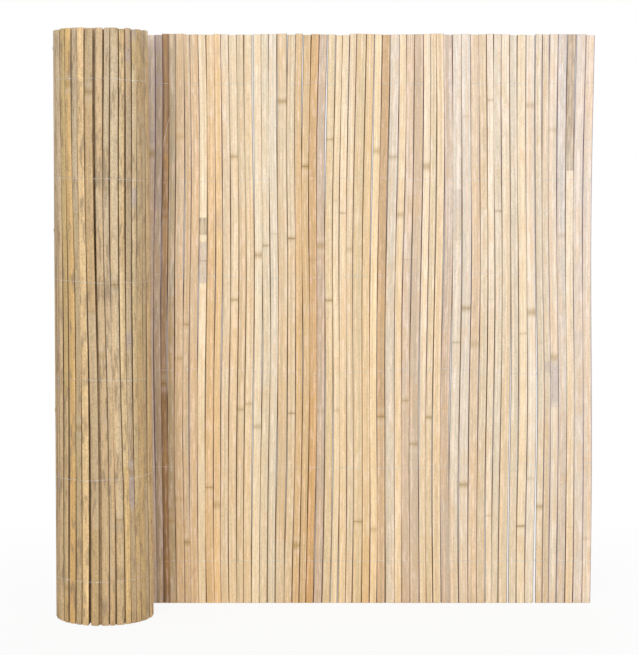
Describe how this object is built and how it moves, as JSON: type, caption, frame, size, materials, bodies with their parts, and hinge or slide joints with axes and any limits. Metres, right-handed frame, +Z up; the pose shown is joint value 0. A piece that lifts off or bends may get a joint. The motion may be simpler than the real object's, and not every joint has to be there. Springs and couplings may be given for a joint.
{
  "type": "bamboo fence panel",
  "caption": "Split bamboo fence panel of upright slats bound with rows of wire, half unrolled: a flat open stretch and the rest still in a roll, standing on its slat ends.",
  "frame": {"origin": "middle of the bottom of the box around the whole panel, on the floor it stands on", "axes": "+Z up along the slats, +X along the open panel away from the roll, +Y from the pith faces of the open slats to their bark"},
  "size_m": [0.9358, 0.1682, 1],
  "materials": {
    "bark": "matte",
    "pale_slat": "matte",
    "straw_slat": "matte",
    "honey_slat": "matte",
    "brown_slat": "matte",
    "grey_slat": "matte",
    "galvanised_wire": "satin"
  },
  "bodies": {
    "root": {"roll": "bark", "lead_slats": "straw_slat", "slat_01": "grey_slat", "slat_02": "pale_slat", "slat_03": "honey_slat", "slat_04": "honey_slat", "slat_05": "straw_slat", "slat_06": "straw_slat", "slat_07": "straw_slat", "slat_08": "straw_slat", "slat_09": "pale_slat", "slat_10": "pale_slat", "slat_11": "pale_slat", "slat_12": "straw_slat", "slat_13": "straw_slat", "slat_14": "honey_slat", "slat_15": "honey_slat", "slat_16": "brown_slat", "slat_17": "grey_slat", "slat_18": "straw_slat", "slat_19": "straw_slat", "slat_20": "straw_slat", "slat_21": "straw_slat", "slat_22": "straw_slat", "slat_23": "honey_slat", "slat_24": "straw_slat", "slat_25": "brown_slat", "slat_26": "pale_slat", "slat_27": "straw_slat", "slat_28": "grey_slat", "slat_29": "grey_slat", "slat_30": "straw_slat", "slat_31": "straw_slat", "slat_32": "straw_slat", "slat_33": "grey_slat", "slat_34": "pale_slat", "slat_35": "pale_slat", "slat_36": "honey_slat", "slat_37": "straw_slat", "slat_38": "straw_slat", "slat_39": "pale_slat", "slat_40": "straw_slat", "slat_41": "pale_slat", "slat_42": "straw_slat", "slat_43": "pale_slat", "slat_44": "pale_slat", "slat_45": "pale_slat", "slat_46": "pale_slat", "slat_47": "pale_slat", "slat_48": "straw_slat", "slat_49": "pale_slat", "slat_50": "grey_slat", "wire_row_1": "galvanised_wire", "wire_row_2": "galvanised_wire", "wire_row_3": "galvanised_wire", "wire_row_4": "galvanised_wire", "wire_row_5": "galvanised_wire", "wire_row_6": "galvanised_wire"}
  },
  "joints": []
}
